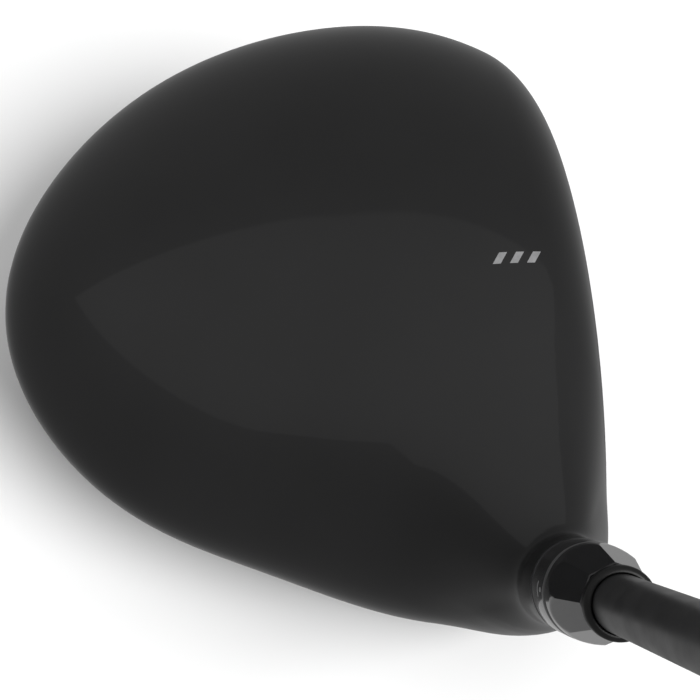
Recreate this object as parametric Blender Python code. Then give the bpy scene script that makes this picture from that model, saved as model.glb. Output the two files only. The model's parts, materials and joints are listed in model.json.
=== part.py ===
"""Left-handed golf driver with an adjustable hosel and two screw-in sole weights.

Metres, +Z up. The club stands at address: the sole's flat pad is at the origin, the toe points
to +X, the face to -Y, and the shaft leans towards -X. Run with blender --background --python.
"""
from math import atan2, cos, pi, radians, sin, tan

import bmesh
import bpy
import numpy as np
from mathutils import Matrix, Vector

MM = 0.001
GAP = 0.3 * MM                      # clearance kept between neighbouring solids

# --- head shell -------------------------------------------------------------------------------
HEAD_CENTRE = np.array([0.0, 26.0]) * MM        # plan centre that the outline is measured from
OUTLINE_RADII = np.array([60.8, 59.3, 58.9, 58.8, 55.6, 53.6,      # every 30 degrees from the toe
                          59.4, 74.0, 71.0, 63.5, 62.0, 62.8]) * MM  # round the rear to the face
FACE_Y = -30.0 * MM                 # leading edge of the face
GIRTH_FRONT = 32.0 * MM             # height of the widest line above the ground, at the face
GIRTH_FALL, GIRTH_TILT = 0.075, 0.06    # how it drops to the rear and climbs to the toe
CROWN_RISE, CROWN_FALL, CROWN_FULLNESS = 39.0 * MM, 0.19, 2.5
SOLE_DROP, SOLE_FALL = 35.6 * MM, 0.155
SOLE_FULLNESS, SOLE_FRONT_FULLNESS = 3.0, 6.0   # the sole stays flat nearly up to the face
CROWN_WALL = 1.0 * MM
BODY_WALL = 2.5 * MM
LEDGE_WALL = 1.2 * MM               # lip inside the casting that the crown is bonded to
LEDGE_ANGLE = radians(24)           # how far that lip reaches under the crown
COLUMNS = 48                        # facets round the head
COLUMN_PHASE = pi / COLUMNS         # keeps the middle plane, and so the origin, inside a facet
SOLE_POLE_DEGREES = (-89.6, -88.0, -85.0)   # extra rings, so that the flat pad is really flat

# --- face -------------------------------------------------------------------------------------
LOFT = radians(10)
FACE_BULGE = 300.0 * MM             # heel-to-toe radius
FACE_ROLL = 300.0 * MM              # sole-to-crown radius
FACE_LEADING_Z = 4.0 * MM
FACE_MIDDLE_Z = 30.0 * MM
FACE_WALL = 3.0 * MM
SLAB_ACROSS, SLAB_UPWARD = (-100.0 * MM, 100.0 * MM, 21), (-20.0 * MM, 90.0 * MM, 12)
SLAB_FRONT_Y = -120.0 * MM          # flat side of a face cutter, clear of the head

# --- hosel and shaft axes ---------------------------------------------------------------------
SHAFT_LIE = radians(58.5)
SLEEVE_TILT = radians(0.75)         # the shaft's bore leans by this much inside the sleeve
HOSEL_LIE = SHAFT_LIE + SLEEVE_TILT
HOSEL_FOOT = Vector((-42.0, -6.8, 0.0)) * MM    # where the hosel axis meets the ground
TILT_HEIGHT = 68.0 * MM             # along the hosel axis, where the shaft axis crosses it

# --- along the hosel axis, measured from the ground ---------------------------------------------
POCKET_MOUTH, POCKET_FLOOR = -5.0 * MM, 18.9 * MM    # the mouth is trimmed to the sole
SOLE_TRIM = (-12.0 * MM, 25.0 * MM)
WEB_TOP = 21.0 * MM
BORE_CUTTER_FOOT = -10.0 * MM       # below the sole, so that the bore goes right through
HOSEL_RIM = 64.4 * MM
RING_TOP = 71.7 * MM
SLEEVE_FOOT = 32.0 * MM
SLEEVE_SHOULDER = 76.5 * MM
SLEEVE_TOP = 85.0 * MM
HOSEL_TUBE_R, HOSEL_BORE_R, HOSEL_RIM_R = 6.9 * MM, 5.75 * MM, 7.6 * MM
POCKET_R = 5.0 * MM
RIM_LIP = 1.2 * MM                  # height of the wider lip round the tube's rim
TUBE_SINK = 0.2 * MM                # the tube's foot lies this far inside the skin
FAIRING_FOOT, FAIRING_FLARE = 33.0 * MM, 4.0 * MM
FAIRING_BELOW_RIM, FAIRING_STEPS = 1.5 * MM, 7
RING_R = 7.6 * MM
BARREL_R = 5.45 * MM
SHOULDER_R = 7.3 * MM
SLEEVE_FLATS = 8
BARREL_CHAMFER = 0.5 * MM
SHOULDER_CHAMFER = (1.5 * MM, 0.25 * MM)    # along and across
FLATS_PROUD = 0.35 * MM             # by how much the flats' corners stand out past the collar
SCREW_HEAD_R, SCREW_SHANK_R = 3.9 * MM, 2.4 * MM
SCREW_HOLE_R = SCREW_SHANK_R + GAP
SCREW_HEAD_LOW, SCREW_HEAD_HIGH = 13.0 * MM, 17.5 * MM
SCREW_TOP = 43.0 * MM
SCREW_HEAD_CHAMFER, SCREW_POINT_CHAMFER = 0.4 * MM, 0.8 * MM
SOCKET_DEPTH, SOCKET_RADII = 2.6 * MM, (2.5 * MM, 1.9 * MM)
SOCKET_TURN = 0.05                  # radians, keeps the lobes off the screw's facet corners
WASHER_R, WASHER_SPAN = 4.4 * MM, (17.8 * MM, 18.6 * MM)
RETAINER_R, RETAINER_LENGTH = 4.2 * MM, 1.0 * MM

# --- shaft and grip, along the shaft axis from the ground ---------------------------------------
TIP_R, BUTT_R = 4.27 * MM, 7.62 * MM
SHAFT_WALL = 1.2 * MM
SHAFT_TIP, TAPER_START, SHAFT_BUTT = 46.0 * MM, 150.0 * MM, 1149.5 * MM
GRIP_MOUTH, GRIP_END, CLUB_END = 887.0 * MM, 1152.0 * MM, 1155.7 * MM
GRIP_MOUTH_R, GRIP_BUTT_R = 9.6 * MM, 13.2 * MM
TAPE_WALL = 0.25 * MM
COLLAR_R = 5.46 * MM
COLLAR_LENGTH = 2.0 * MM
VENT_R = 1.3 * MM
TAPE_ABOVE_MOUTH, TAPE_BELOW_BUTT = 3.0 * MM, 1.0 * MM
PLUG_SPAN = (1.0 * MM, 9.0 * MM)    # above the shaft's tip

# --- sole weights -------------------------------------------------------------------------------
FRONT_WEIGHT_XY = (0.0, -14.0 * MM)
REAR_WEIGHT_XY = (0.0, 62.0 * MM)
WEIGHT_R = 7.2 * MM
PORT_R = 8.6 * MM
PORT_DEPTH = 8.6 * MM
POCKET_DEPTH = 6.0 * MM
WEIGHT_SINK = 0.6 * MM              # how far the puck lies below the sole
WEIGHT_SCREW_HEAD_R, WEIGHT_SHANK_R = 3.3 * MM, 2.0 * MM
WEIGHT_SEAT_DEPTH = 2.6 * MM        # from the puck's face down to the seat of its screw's head
WEIGHT_CHAMFER = 0.4 * MM
WEIGHT_SCREW_SINK = 0.2 * MM        # how far the screw's head lies below the puck's face
WEIGHT_SCREW_SHORT = 1.0 * MM       # how far its shank ends inside the port
WEIGHT_SOCKET_DEPTH, WEIGHT_SOCKET_RADII = 1.5 * MM, (2.1 * MM, 1.6 * MM)
PORT_HOLE_SPAN = (-14.0 * MM, 6.0 * MM)     # cutter for the port, through the sole's wall

# --- sole badge ---------------------------------------------------------------------------------
BADGE_MIDDLE_Y = 36.0 * MM
BADGE_HALF = (17.0 * MM, 9.0 * MM)
BADGE_WALL = 0.6 * MM
BADGE_RECESS_REACH = 3.0 * MM       # how far the recess's cutter stands out of the sole


# ================================================================================================
# scene helpers
# ================================================================================================
def clear_scene():
    for item in list(bpy.data.objects):
        bpy.data.objects.remove(item, do_unlink=True)


def material(name, colour, roughness, metallic=0.0, coat=0.0):
    made = bpy.data.materials.new(name)
    made.use_nodes = True
    shader = made.node_tree.nodes["Principled BSDF"]
    shader.inputs["Base Color"].default_value = (*colour, 1.0)
    shader.inputs["Roughness"].default_value = roughness
    shader.inputs["Metallic"].default_value = metallic
    shader.inputs["Coat Weight"].default_value = coat
    made.diffuse_color = (*colour, 1.0)
    return made


def axis_empty(name, origin, direction):
    """An empty whose local Z runs along an axis; the pieces on that axis are parented to it."""
    empty = bpy.data.objects.new(name, None)
    bpy.context.scene.collection.objects.link(empty)
    turn = Vector((0, 0, 1)).rotation_difference(Vector(direction)).to_matrix().to_4x4()
    empty.matrix_world = Matrix.Translation(origin) @ turn
    return empty


def add_object(name, vertices, faces, finish, parent=None, crease=radians(35)):
    """Make one closed, outward-facing object from points and faces."""
    mesh = bpy.data.meshes.new(name)
    mesh.from_pydata([tuple(point) for point in vertices], [], faces)
    work = bmesh.new()
    work.from_mesh(mesh)
    bmesh.ops.recalc_face_normals(work, faces=work.faces)
    bmesh.ops.triangulate(work, faces=[face for face in work.faces if len(face.verts) > 3])
    work.to_mesh(mesh)
    work.free()
    mesh.shade_smooth()
    mesh.set_sharp_from_angle(angle=crease)
    if finish is not None:
        mesh.materials.append(finish)
    made = bpy.data.objects.new(name, mesh)
    made.parent = parent
    bpy.context.scene.collection.objects.link(made)
    return made


def cut(target, cutter, operation="DIFFERENCE"):
    """Boolean one object with another that is then kept as a hidden cutter."""
    step = target.modifiers.new(cutter.name, "BOOLEAN")
    step.operation = operation
    step.object = cutter
    step.solver = "EXACT"
    cutter.hide_render = True
    cutter.display_type = "WIRE"


def loft(rings, closed_profile):
    """Skin a list of rings. A ring with a single point closes the surface there."""
    points, starts, faces = [], [], []
    for ring in rings:
        starts.append(len(points))
        points.extend(ring)
    last = len(rings) if closed_profile else len(rings) - 1
    for number in range(last):
        after = (number + 1) % len(rings)
        low, high = rings[number], rings[after]
        sides = max(len(low), len(high))
        for side in range(sides):
            step = (side + 1) % sides
            face = []
            for ring, start in ((low, starts[number]), (high, starts[after])):
                pair = (side, step) if ring is low else (step, side)
                face.extend([start] if len(ring) == 1 else [start + pair[0], start + pair[1]])
            faces.append(face)
    return points, faces


def circle(height, radius, sides, turn=0.0):
    if radius <= 0:
        return [(0.0, 0.0, height)]
    angles = [turn + 2 * pi * side / sides for side in range(sides)]
    return [(radius * cos(angle), radius * sin(angle), height) for angle in angles]


def turned(name, profile, finish, parent, sides=28, closed=True, turn=0.0):
    """A turned piece: profile holds (height, radius) pairs, closed for a tube or a ring."""
    rings = [circle(height, radius, sides, turn) for height, radius in profile]
    points, faces = loft(rings, closed)
    return add_object(name, points, faces, finish, parent)


def solid_turned(name, profile, finish, parent, sides=28, turn=0.0):
    """A turned piece without a bore: flat ends are closed with a point on the axis."""
    ends = [(profile[0][0], 0.0), *profile, (profile[-1][0], 0.0)]
    return turned(name, ends, finish, parent, sides, closed=False, turn=turn)


def lobed_socket(name, parent, floor, mouth, outer_r, inner_r):
    """Cutter for a six-lobed drive socket."""
    sides = 36
    rings = []
    for height in (floor, mouth):
        ring = []
        for side in range(sides):
            angle = 2 * pi * side / sides
            radius = (outer_r + inner_r) / 2 + (outer_r - inner_r) / 2 * cos(6 * angle)
            ring.append((radius * cos(angle + SOCKET_TURN), radius * sin(angle + SOCKET_TURN),
                         height))
        rings.append(ring)
    rings = [[(0, 0, floor)], *rings, [(0, 0, mouth)]]
    points, faces = loft(rings, False)
    return add_object(name, points, faces, None, parent)


# ================================================================================================
# head surface
# ================================================================================================
def outline_radius(theta):
    """Plan radius of the girth, a Fourier curve through the outline radii."""
    waves = np.fft.rfft(OUTLINE_RADII) / len(OUTLINE_RADII)
    radius = np.full_like(theta, waves[0].real)
    for order in range(1, len(waves) - 1):
        radius += 2 * np.real(waves[order] * np.exp(1j * order * theta))
    return radius + np.real(waves[-1]) * np.cos((len(waves) - 1) * theta)


def sole_fullness(theta):
    """Superellipse exponent of the sole: flatter in front than behind."""
    front = np.clip(-np.sin(theta), 0, 1) ** 2
    return SOLE_FULLNESS + (SOLE_FRONT_FULLNESS - SOLE_FULLNESS) * front


def head_point(phi, theta):
    """Outer skin: phi runs from pi/2 at the top of the crown, by 0 at the girth, to -pi/2."""
    phi, theta = np.broadcast_arrays(np.asarray(phi, float), np.asarray(theta, float))
    crown = phi >= 0
    power = np.where(crown, 2 / CROWN_FULLNESS, 2 / sole_fullness(theta))
    reach = np.clip(np.cos(phi), 0, 1) ** power * outline_radius(theta)
    x = HEAD_CENTRE[0] + reach * np.cos(theta)
    y = HEAD_CENTRE[1] + reach * np.sin(theta)
    back = y - FACE_Y
    level = GIRTH_TILT * x - GIRTH_FALL * back
    drop = SOLE_DROP - SOLE_FALL * back + GIRTH_TILT * x
    z = GIRTH_FRONT + level + np.where(crown, CROWN_RISE - CROWN_FALL * back, drop) * np.sin(phi)
    return np.stack([x, y, np.maximum(z, 0.0)], axis=-1)


def head_normal(phi, theta):
    """Outward unit normal of the skin, by central differences."""
    step = 1e-3
    phi = np.clip(phi, -pi / 2 + 0.03, pi / 2 - 0.03)
    along = head_point(phi, theta + step) - head_point(phi, theta - step)
    up = head_point(phi + step, theta) - head_point(phi - step, theta)
    normal = np.cross(along, up)
    return normal / np.linalg.norm(normal, axis=-1, keepdims=True)


def skin_ring(phi, depth=0.0):
    """One ring of points round the head at a depth under the skin."""
    if abs(phi) >= pi / 2:
        point = head_point(phi, 0.0) - depth * np.array([0, 0, np.sign(phi)])
        return [tuple(point)]
    theta = COLUMN_PHASE + np.linspace(0, 2 * pi, COLUMNS, endpoint=False)
    points = head_point(phi, theta) - depth * head_normal(phi, theta)
    return [tuple(point) for point in points]


def angles_between(start, end, count):
    return list(np.linspace(start, end, count))


def sole_angles():
    """Ring angles from the sole's middle up to the girth, closer together at the middle."""
    evenly = angles_between(-pi / 2, 0, 11)
    return [evenly[0], *[radians(angle) for angle in SOLE_POLE_DEGREES], *evenly[1:]]


def face_y(x, z):
    """The struck face: lofted, with bulge and roll."""
    lean = (z - FACE_LEADING_Z) * tan(LOFT)
    bulge = x * x / (2 * FACE_BULGE)
    roll = (z - FACE_MIDDLE_Z) ** 2 / (2 * FACE_ROLL)
    return FACE_Y + lean + bulge + roll


def face_slab(name, front, back):
    """A block between two depths behind the face surface; None for front leaves it deep."""
    across, upward = np.linspace(*SLAB_ACROSS), np.linspace(*SLAB_UPWARD)
    layers = []
    for depth in (front, back):
        for z in upward:
            for x in across:
                y = SLAB_FRONT_Y if depth is None else face_y(x, z) + depth
                layers.append((x, y, z))
    wide, high = len(across), len(upward)
    size = wide * high
    faces = []
    for layer in range(2):
        for row in range(high - 1):
            for col in range(wide - 1):
                at = layer * size + row * wide + col
                faces.append([at, at + 1, at + wide + 1, at + wide])
    edge = [col for col in range(wide)]
    edge += [row * wide + wide - 1 for row in range(1, high)]
    edge += [(high - 1) * wide + col for col in range(wide - 2, -1, -1)]
    edge += [row * wide for row in range(high - 2, 0, -1)]
    for here, there in zip(edge, edge[1:] + edge[:1]):
        faces.append([here, there, there + size, here + size])
    return add_object(name, layers, faces, None)


def sole_spot(x, y):
    """Point and outward normal of the sole at a place in plan."""
    offset = np.array([x, y]) - HEAD_CENTRE
    theta = atan2(offset[1], offset[0])
    reach = np.hypot(*offset) / outline_radius(np.array(theta))
    phi = -np.arccos(reach ** (sole_fullness(theta) / 2))
    normal = head_normal(phi, np.array(theta))
    return Vector(head_point(phi, theta)), Vector(normal)


# ================================================================================================
# head pieces
# ================================================================================================
def fairing_profile(extra):
    """Concave blend from the heel up to the hosel rim, widened by extra."""
    low, high = FAIRING_FOOT, HOSEL_RIM - FAIRING_BELOW_RIM
    profile = []
    for step in range(FAIRING_STEPS + 1):
        share = step / FAIRING_STEPS
        radius = HOSEL_RIM_R + FAIRING_FLARE * (1 - share) ** 2
        profile.append((low + (high - low) * share, radius + extra))
    return profile


def whole_head(name, depth, finish=None):
    """The head's full volume inside the skin, or inside a surface at a depth under it."""
    rings = [skin_ring(phi, depth) for phi in angles_between(-pi / 2, pi / 2, 23)]
    points, faces = loft(rings, False)
    return add_object(name, points, faces, finish)


def body_casting(axis, ports, finish):
    """Sole, skirt and crown ledge in one casting, open at the crown and at the face."""
    outer = [skin_ring(phi) for phi in sole_angles()]
    tucked = CROWN_WALL + GAP
    ledge = angles_between(0, LEDGE_ANGLE, 3)
    lip = [skin_ring(phi, tucked) for phi in ledge]
    under = [skin_ring(phi, tucked + LEDGE_WALL) for phi in reversed(ledge[1:])]
    inner = [skin_ring(phi, BODY_WALL) for phi in angles_between(0, -pi / 2, 11)[1:]]
    points, faces = loft(outer + lip + under + inner, False)
    body = add_object("body_casting", points, faces, finish)
    cut(body, face_slab("body_front_cutter", None, FACE_WALL + GAP))
    fairing = solid_turned("fairing_form", fairing_profile(0.0), None, axis, 32)
    clearance = whole_head("face_clearance_form", -GAP)
    cut(clearance, face_slab("face_clearance_slab", None, FACE_WALL + 1.3 * GAP), "INTERSECT")
    cut(fairing, clearance)
    cut(body, fairing, "UNION")
    bore = solid_turned("hosel_bore_cutter",
                        [(BORE_CUTTER_FOOT, HOSEL_TUBE_R + GAP),
                         (HOSEL_RIM, HOSEL_TUBE_R + GAP)],
                        None, axis, 28)
    cut(body, bore)
    for name, port in ports.items():
        hole = solid_turned(name + "_hole_cutter",
                            [(height, PORT_R + GAP) for height in PORT_HOLE_SPAN],
                            None, port, 28)
        cut(body, hole)
    cut(body, badge_form("badge_recess_cutter", GAP, BADGE_RECESS_REACH,
                         BADGE_WALL + GAP, None))
    return body


def crown_shell(axis, finish):
    """Thin bonded crown with a cut-out for the hosel fairing."""
    edge = GAP / (30 * MM)
    outer = [skin_ring(phi) for phi in angles_between(pi / 2, edge, 13)]
    inner = [skin_ring(phi, CROWN_WALL) for phi in angles_between(edge, pi / 2, 13)]
    points, faces = loft(outer + inner, False)
    crown = add_object("crown_shell", points, faces, finish)
    cut(crown, solid_turned("crown_fairing_cutter", fairing_profile(GAP), None, axis, 32))
    cut(crown, face_slab("crown_front_cutter", None, FACE_WALL + GAP))
    return crown


def face_plate(finish):
    """Struck plate: the part of the head's volume just behind the face surface."""
    plate = whole_head("face_plate", 0.0, finish)
    cut(plate, face_slab("face_slab_form", 0.0, FACE_WALL), "INTERSECT")
    return plate


def badge_form(name, widen, above, below, finish):
    """Rounded plate that follows the sole, between two depths."""
    sides = 28
    levels = []
    for share in (0.0, 0.5, 1.0):
        ring = []
        for side in range(sides if share else 1):
            angle = 2 * pi * side / sides
            stretch = (abs(cos(angle)) ** 4 + abs(sin(angle)) ** 4) ** -0.25
            x = (BADGE_HALF[0] + widen) * share * stretch * cos(angle)
            y = BADGE_MIDDLE_Y + (BADGE_HALF[1] + widen) * share * stretch * sin(angle)
            ring.append(sole_spot(x, y))
        levels.append(ring)
    top = [[tuple(point + above * normal) for point, normal in ring] for ring in levels]
    low = [[tuple(point - below * normal) for point, normal in ring] for ring in levels]
    points, faces = loft(top + low[::-1], False)
    return add_object(name, points, faces, finish)


def hosel_tube(axis, finish):
    """Turned tube from the screw pocket, trimmed flush with the sole, up to the rim."""
    profile = [(POCKET_MOUTH, HOSEL_TUBE_R), (HOSEL_RIM - RIM_LIP, HOSEL_TUBE_R),
               (HOSEL_RIM - RIM_LIP, HOSEL_RIM_R), (HOSEL_RIM, HOSEL_RIM_R),
               (HOSEL_RIM, HOSEL_BORE_R), (WEB_TOP, HOSEL_BORE_R), (WEB_TOP, SCREW_HOLE_R),
               (POCKET_FLOOR, SCREW_HOLE_R), (POCKET_FLOOR, POCKET_R), (POCKET_MOUTH, POCKET_R)]
    tube = turned("hosel_tube", profile, finish, axis)
    trim = solid_turned("sole_trim_cutter", [(height, 2 * HOSEL_TUBE_R) for height in SOLE_TRIM],
                        None, axis)
    cut(trim, whole_head("sole_trim_form", TUBE_SINK))
    cut(tube, trim)
    return tube


def hosel_screw(axis, finish):
    """Captive screw: its head is in the sole pocket, its shank reaches into the sleeve."""
    low, high = SCREW_HEAD_LOW, SCREW_HEAD_HIGH
    profile = [(low, SCREW_HEAD_R - SCREW_HEAD_CHAMFER), (low + SCREW_HEAD_CHAMFER, SCREW_HEAD_R),
               (high, SCREW_HEAD_R), (high, SCREW_SHANK_R),
               (SCREW_TOP - SCREW_POINT_CHAMFER, SCREW_SHANK_R),
               (SCREW_TOP, SCREW_SHANK_R - SCREW_POINT_CHAMFER)]
    screw = solid_turned("hosel_screw", profile, finish, axis)
    cut(screw, lobed_socket("hosel_screw_socket_cutter", axis, low - SOCKET_DEPTH,
                            low + SOCKET_DEPTH, *SOCKET_RADII))
    return screw


def flat_ring(name, low, high, inner_r, outer_r, finish, axis, sides=28):
    profile = [(low, inner_r), (low, outer_r), (high, outer_r), (high, inner_r)]
    return turned(name, profile, finish, axis, sides)


# ================================================================================================
# sole weights; local Z points out of the sole, zero is the sole's surface
# ================================================================================================
def weight_set(name, axis, finishes):
    floor = -POCKET_DEPTH
    thread_r = WEIGHT_SHANK_R + GAP
    turned(name + "_port", [(-WEIGHT_SINK, PORT_R), (-WEIGHT_SINK, WEIGHT_R + GAP),
                            (floor, WEIGHT_R + GAP), (floor, thread_r), (-PORT_DEPTH, thread_r),
                            (-PORT_DEPTH, PORT_R)], finishes["port"], axis)
    seat = -WEIGHT_SINK - WEIGHT_SEAT_DEPTH
    bore = WEIGHT_SCREW_HEAD_R + GAP
    turned(name, [(-WEIGHT_SINK, bore), (-WEIGHT_SINK, WEIGHT_R - WEIGHT_CHAMFER),
                  (-WEIGHT_SINK - WEIGHT_CHAMFER, WEIGHT_R), (floor + GAP, WEIGHT_R),
                  (floor + GAP, thread_r), (seat, thread_r), (seat, bore)], finishes["weight"], axis)
    top = -WEIGHT_SINK - WEIGHT_SCREW_SINK
    under = seat + GAP
    shank = [(WEIGHT_SCREW_SHORT - PORT_DEPTH, WEIGHT_SHANK_R), (under, WEIGHT_SHANK_R)]
    head = [(under, WEIGHT_SCREW_HEAD_R), (top, WEIGHT_SCREW_HEAD_R)]
    screw = solid_turned(name + "_screw", shank + head, finishes["screw"], axis)
    cut(screw, lobed_socket(name + "_socket_cutter", axis, top - WEIGHT_SOCKET_DEPTH,
                            top + WEIGHT_SOCKET_DEPTH, *WEIGHT_SOCKET_RADII))


# ================================================================================================
# adapter, shaft and grip
# ================================================================================================
def adapter_ring(axis, finish):
    low, high = HOSEL_RIM + GAP, RING_TOP
    profile = [(low, HOSEL_BORE_R), (low, RING_R), (high - 1.0 * MM, RING_R - 0.1 * MM),
               (high, RING_R - 0.4 * MM), (high, HOSEL_BORE_R)]
    return turned("adapter_ring", profile, finish, axis)


def adapter_sleeve(axis, shaft_axis, finish):
    """Inner barrel, round shoulder and eight tapering flats; bored for the shaft and the screw."""
    foot = RING_TOP + GAP
    sides = 5 * SLEEVE_FLATS
    rings = [circle(SLEEVE_FOOT, 0, 1), circle(SLEEVE_FOOT, BARREL_R - BARREL_CHAMFER, sides),
             circle(SLEEVE_FOOT + BARREL_CHAMFER, BARREL_R, sides), circle(foot, BARREL_R, sides),
             circle(foot, SHOULDER_R, sides),
             circle(SLEEVE_SHOULDER - SHOULDER_CHAMFER[0], SHOULDER_R, sides),
             circle(SLEEVE_SHOULDER, SHOULDER_R - SHOULDER_CHAMFER[1], sides)]
    rings.append(flatted_ring(SLEEVE_TOP, COLLAR_R + FLATS_PROUD, sides))
    rings.append(circle(SLEEVE_TOP, 0, 1))
    points, faces = loft(rings, False)
    sleeve = add_object("adapter_sleeve", points, faces, finish, axis, crease=radians(12))
    bore_r = TIP_R + GAP
    cut(sleeve, solid_turned("shaft_bore_cutter", [(SHAFT_TIP - GAP, bore_r),
                                                   (SLEEVE_TOP + 8 * MM, bore_r)],
                             None, shaft_axis, 28))
    cut(sleeve, solid_turned("screw_bore_cutter", [(SLEEVE_FOOT - 5 * MM, SCREW_HOLE_R),
                                                   (SCREW_TOP + GAP, SCREW_HOLE_R)],
                             None, axis, 28))
    return sleeve


def flatted_ring(height, radius, sides):
    """A ring of points on a regular polygon with as many flats as the sleeve."""
    ring = []
    half = pi / SLEEVE_FLATS
    for side in range(sides):
        angle = 2 * pi * side / sides
        within = angle % (2 * half) - half
        reach = radius * cos(half) / cos(within)
        ring.append((reach * cos(angle), reach * sin(angle), height))
    return ring


def shaft_collar(axis, finish):
    """Small round ring that hides the joint between sleeve and shaft."""
    low = SLEEVE_TOP + GAP + 0.15 * MM
    high = low + COLLAR_LENGTH
    inner = TIP_R + GAP
    profile = [(low, inner), (low, COLLAR_R - 0.4 * MM), (low + 0.5 * MM, COLLAR_R),
               (high - 0.9 * MM, COLLAR_R), (high, COLLAR_R - 0.6 * MM), (high, inner)]
    return turned("shaft_collar", profile, finish, axis)


def shaft_radius(height):
    share = (height - TAPER_START) / (SHAFT_BUTT - TAPER_START)
    return TIP_R + (BUTT_R - TIP_R) * max(share, 0.0)


def shaft(axis, finish):
    """Tapering graphite tube, open at both ends."""
    heights = [SHAFT_TIP, TAPER_START, *np.linspace(TAPER_START, SHAFT_BUTT, 9)[1:]]
    outer = [(height, shaft_radius(height)) for height in heights]
    inner = [(height, shaft_radius(height) - SHAFT_WALL) for height in reversed(heights)]
    return turned("shaft", outer + inner, finish, axis, 28)


def tip_plug(axis, finish):
    inner = TIP_R - SHAFT_WALL - GAP
    return solid_turned("tip_plug", [(SHAFT_TIP + height, inner) for height in PLUG_SPAN],
                        finish, axis, 24)


def sleeve_over_shaft(name, low, high, inner, outer, finish, axis, steps=6):
    """A tube over the shaft; inner and outer give the radius at a height."""
    heights = np.linspace(low, high, steps)
    profile = [(height, outer(height)) for height in heights]
    profile += [(height, inner(height)) for height in reversed(heights)]
    return turned(name, profile, finish, axis, 28)


def grip_outer(height):
    share = (height - GRIP_MOUTH) / (GRIP_END - GRIP_MOUTH)
    return GRIP_MOUTH_R + (GRIP_BUTT_R - GRIP_MOUTH_R) * max(share, 0.0) ** 1.25


def grip_cap(axis, finish):
    """Butt cap with a vent hole through its flat end."""
    low, high = GRIP_END + GAP, CLUB_END
    profile = [(low, VENT_R), (low, GRIP_BUTT_R), (high - 1.4 * MM, GRIP_BUTT_R),
               (high - 0.4 * MM, GRIP_BUTT_R - 0.5 * MM), (high, GRIP_BUTT_R - 1.6 * MM),
               (high, VENT_R)]
    return turned("grip_cap", profile, finish, axis, 28)


# ================================================================================================
# assembly
# ================================================================================================
def axes():
    """The hosel, shaft and weight axes, as empties that the pieces hang from."""
    hosel_up = Vector((-cos(HOSEL_LIE), 0, sin(HOSEL_LIE)))
    shaft_up = Vector((-cos(SHAFT_LIE), 0, sin(SHAFT_LIE)))
    crossing = HOSEL_FOOT + hosel_up * TILT_HEIGHT
    found = {"hosel": axis_empty("hosel_axis", HOSEL_FOOT, hosel_up),
             "shaft": axis_empty("shaft_axis", crossing - shaft_up * TILT_HEIGHT, shaft_up)}
    for name, place in (("front_weight", FRONT_WEIGHT_XY), ("rear_weight", REAR_WEIGHT_XY)):
        point, normal = sole_spot(*place)
        found[name] = axis_empty(name + "_axis", point, normal)
    return found


def build():
    clear_scene()
    gloss_black = material("crown_gloss_black", (0.012, 0.012, 0.013), 0.08, coat=1.0)
    cast_black = material("casting_black", (0.016, 0.016, 0.017), 0.22, coat=0.6)
    face_metal = material("face_brushed", (0.10, 0.10, 0.105), 0.38, metallic=0.9)
    badge_metal = material("badge_metal", (0.42, 0.42, 0.43), 0.3, metallic=1.0)
    tube_metal = material("hosel_metal", (0.03, 0.03, 0.032), 0.2, metallic=0.5)
    ring_black = material("ring_black", (0.014, 0.014, 0.015), 0.12, coat=0.8)
    sleeve_black = material("sleeve_black", (0.02, 0.02, 0.021), 0.14, metallic=0.4)
    collar_black = material("collar_black", (0.008, 0.008, 0.008), 0.35)
    graphite = material("shaft_satin", (0.035, 0.035, 0.036), 0.34)
    plug_grey = material("plug_grey", (0.3, 0.3, 0.3), 0.6)
    screw_steel = material("screw_steel", (0.35, 0.35, 0.36), 0.3, metallic=1.0)
    weight_metal = material("weight_metal", (0.25, 0.25, 0.26), 0.28, metallic=1.0)
    port_metal = material("port_metal", (0.18, 0.18, 0.19), 0.35, metallic=1.0)
    tape_tan = material("tape_tan", (0.62, 0.52, 0.36), 0.8)
    rubber = material("grip_rubber", (0.016, 0.016, 0.016), 0.75)
    cap_rubber = material("cap_rubber", (0.02, 0.02, 0.02), 0.6)

    axis = axes()
    hosel, shaft_axis = axis["hosel"], axis["shaft"]
    ports = {name: axis[name] for name in ("front_weight", "rear_weight")}
    body_casting(hosel, ports, cast_black)
    crown_shell(hosel, gloss_black)
    face_plate(face_metal)
    badge_form("sole_badge", 0.0, 0.0, BADGE_WALL, badge_metal)
    hosel_tube(hosel, tube_metal)
    hosel_screw(hosel, screw_steel)
    flat_ring("screw_washer", *WASHER_SPAN, SCREW_HOLE_R, WASHER_R, screw_steel, hosel)
    retainer_low = WEB_TOP + GAP
    flat_ring("screw_retainer", retainer_low, retainer_low + RETAINER_LENGTH, SCREW_HOLE_R,
              RETAINER_R, plug_grey, hosel)
    finishes = {"port": port_metal, "weight": weight_metal, "screw": screw_steel}
    for name, port in ports.items():
        weight_set(name, port, finishes)

    adapter_ring(hosel, ring_black)
    adapter_sleeve(hosel, shaft_axis, sleeve_black)
    shaft_collar(shaft_axis, collar_black)
    shaft(shaft_axis, graphite)
    tip_plug(shaft_axis, plug_grey)
    tape_low, tape_high = GRIP_MOUTH + TAPE_ABOVE_MOUTH, SHAFT_BUTT - TAPE_BELOW_BUTT
    sleeve_over_shaft("grip_tape", tape_low, tape_high, lambda h: shaft_radius(h) + GAP,
                      lambda h: shaft_radius(h) + GAP + TAPE_WALL, tape_tan, shaft_axis, 3)
    sleeve_over_shaft("grip", GRIP_MOUTH, GRIP_END,
                      lambda h: shaft_radius(h) + 2 * GAP + TAPE_WALL, grip_outer, rubber,
                      shaft_axis, 8)
    grip_cap(shaft_axis, cap_rubber)


build()
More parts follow.
